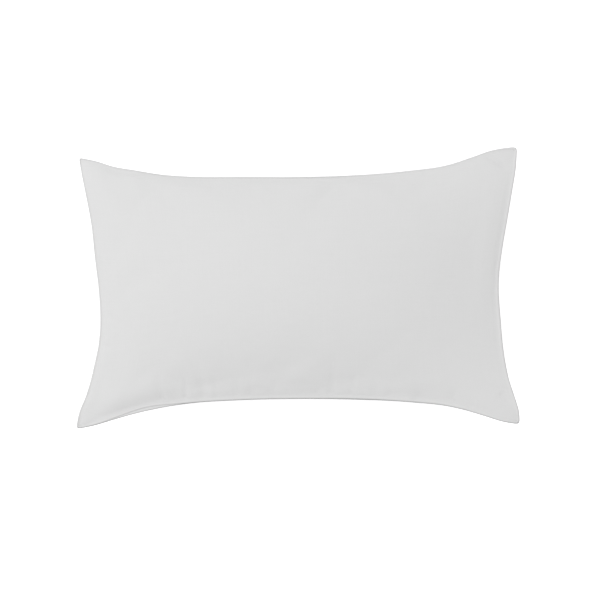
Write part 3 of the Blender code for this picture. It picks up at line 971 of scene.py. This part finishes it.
def tape_material():
    """Zip tape: a herringbone of fine ribs that turn back every 2 mm."""
    n = Nodes("zip_tape", (0.66, 0.66, 0.66), 0.75, Sheen_Weight=0.1)
    x, _, z = n.split(n.place((1, 1, 1), uv=False))
    slant = n.math("PINGPONG", z, 2 * MM)
    ribs = n.math("SINE", n.math("MULTIPLY", n.math("ADD", x, slant), 2 * math.pi / (0.5 * MM)))
    shade = n.noise(n.place((400, 400, 400), uv=False), 2.0)
    n.tint(n.total(n.math("MULTIPLY", ribs, 0.06), n.centred(shade, 0.05)))
    n.relief(n.math("MULTIPLY", ribs, 0.05 * MM))
    return n.material


def coil_material():
    n = Nodes("zip_coil_nylon", (0.62, 0.62, 0.62), 0.35, Coat_Weight=0.1)
    shade = n.noise(n.place((900, 900, 900), uv=False), 2.0)
    n.tint(n.centred(shade, 0.04))
    n.relief(n.math("MULTIPLY", shade, 0.02 * MM))
    return n.material


def metal_material():
    """Nickel-plated slider: satin, with fine scratches along its length."""
    n = Nodes("slider_nickel", (0.60, 0.60, 0.61), 0.32, Metallic=1.0)
    scratches = n.noise(n.place((300, 6000, 6000), uv=False), 3.0, 0.7)
    stain = n.noise(n.place((500, 500, 500), uv=False), 2.0)
    n.tint(n.total(n.centred(scratches, 0.05), n.centred(stain, 0.05)))
    rough = n.total(n.centred(scratches, 0.08), n.centred(stain, 0.06))
    n.link(n.math("ADD", rough, 0.34), n.shader.inputs["Roughness"])
    n.relief(n.math("MULTIPLY", scratches, 0.01 * MM))
    return n.material


def floor_material(name, shade, glow):
    n = Nodes(name, (shade, shade, shade), 0.9)
    n.shader.inputs["Emission Color"].default_value = (1, 1, 1, 1)
    n.shader.inputs["Emission Strength"].default_value = glow
    return n.material


# Pieces ---------------------------------------------------------------------------------------


def build_cover(front, back, front_points, back_points):
    cotton = woven("cover_cotton", (0.665, 0.665, 0.665), thread=0.42 * MM, uneven=0.012,
                   sheen=0.10)
    top = panel("cover_front_cloth", front, 1, front_points, cotton)
    base = panel("cover_back_cloth", back, -1, back_points, cotton)
    stand_in(top, "pillow", "cover_cotton", "cover_front_panel")
    stand_in(base, "pillow", "cover_cotton", "cover_back_panel")


def build_inner(front, back, front_points, back_points):
    ticking = woven("ticking_cotton", (0.82, 0.81, 0.79), thread=0.30 * MM, uneven=0.015,
                    sheen=0.05)
    fibre = fibre_material()
    sides = (("front", front, 1, front_points), ("back", back, -1, back_points))
    for side, sheet, sign, points in sides:
        skin = inner_panel(f"ticking_{side}_cloth", sheet, sign, points, TICKING_INSET,
                           TICKING_DROP, ticking)
        stand_in(skin, "pillow", "ticking_cotton", f"ticking_{side}_panel")
    halves = [inner_panel(f"fibre_fill_{side}", sheet, sign, points, FILL_INSET, FILL_DROP, fibre)
              for side, sheet, sign, points in sides]
    with bpy.context.temp_override(active_object=halves[0], selected_editable_objects=halves):
        bpy.ops.object.join()
    batt = halves[0]
    batt.name = batt.data.name = "fibre_fill_batt"
    joined = bmesh.new()
    joined.from_mesh(batt.data)
    bmesh.ops.remove_doubles(joined, verts=joined.verts, dist=WELD_REACH)
    joined.to_mesh(batt.data)
    joined.free()
    stand_in(batt, "pillow", "polyester_fibre", "fibre_fill")


def dress_frame(frame):
    """Materials for the CAD nodes that stay."""
    kinds = {"cover_overlock": thread_material(), "zip_tape": tape_material(),
             "zip_slider": metal_material()}
    kinds["ticking_overlock"] = kinds["cover_overlock"]
    kinds["zip_pull_tab"] = kinds["zip_slider"]
    for name, node in frame["nodes"].items():
        for start, material in kinds.items():
            if name.startswith(start):
                for place in node.material_slots:
                    place.material = material
    soften_edges(frame["nodes"]["zip_slider"], SLIDER_BEVEL)
    soften_edges(frame["nodes"]["zip_pull_tab"], TAB_BEVEL)
    zip_teeth(coil_material())
    bar_tacks(kinds["cover_overlock"])


# Stage ------------------------------------------------------------------------------------------


def aimed(made, location, target):
    made.location = location
    made.rotation_euler = (Vector(target) - Vector(location)).to_track_quat("-Z", "Y").to_euler()
    bpy.context.scene.collection.objects.link(made)
    return made


def area_light(name, location, size, power):
    lamp = bpy.data.lights.new(name, "AREA")
    lamp.shape = "SQUARE"
    lamp.size = size
    lamp.energy = power
    aimed(bpy.data.objects.new(name, lamp), location, (0, 0, SEAM_HEIGHT))


def floor_plane(name, height, material):
    half = FLOOR_SIZE / 2
    corners = [(-half, -half), (half, -half), (half, half), (-half, half)]
    plane = mesh_piece(name, [(x, y, height) for x, y in corners], [(0, 1, 2, 3)], material,
                       smooth=False)
    return plane


def build_stage():
    """A pale floor that the camera sees, and under it one that returns light to the pillow."""
    floor = floor_plane("floor", 0.0, floor_material("floor", 0.85, FLOOR_GLOW))
    floor.visible_diffuse = floor.visible_glossy = floor.visible_shadow = False
    bounce = floor_plane("floor_bounce", -MM, floor_material("floor_bounce", BOUNCE_SHADE, 0.0))
    bounce.visible_camera = False
    for name, location, size, power in LIGHTS:
        area_light(name, location, size, power)
    scene = bpy.context.scene
    scene.world = bpy.data.worlds.new("studio")
    scene.world.use_nodes = True
    sky = scene.world.node_tree.nodes["Background"]
    sky.inputs["Color"].default_value = (1, 1, 1, 1)
    sky.inputs["Strength"].default_value = SKY_STRENGTH
    scene.view_settings.view_transform = "Standard"
    camera = bpy.data.cameras.new("camera")
    camera.lens = CAMERA_LENS
    camera.sensor_width = CAMERA_SENSOR
    distance = VIEW_WIDTH * CAMERA_LENS / CAMERA_SENSOR
    held = bpy.data.objects.new("camera", camera)
    held.location = (*CAMERA_AIM, SEAM_HEIGHT + distance)
    scene.collection.objects.link(held)
    scene.camera = held


def main():
    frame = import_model()
    smooth = smooth_pillow()
    wrinkled = wrinkled_pillow()
    front, back = (Sheet(*pair) for pair in zip(smooth, wrinkled))
    front_points, back_points = front_face(front), back_face(back)
    build_cover(front, back, front_points, back_points)
    build_inner(front, back, front_points, back_points)
    dress_frame(frame)
    build_stage()


main()
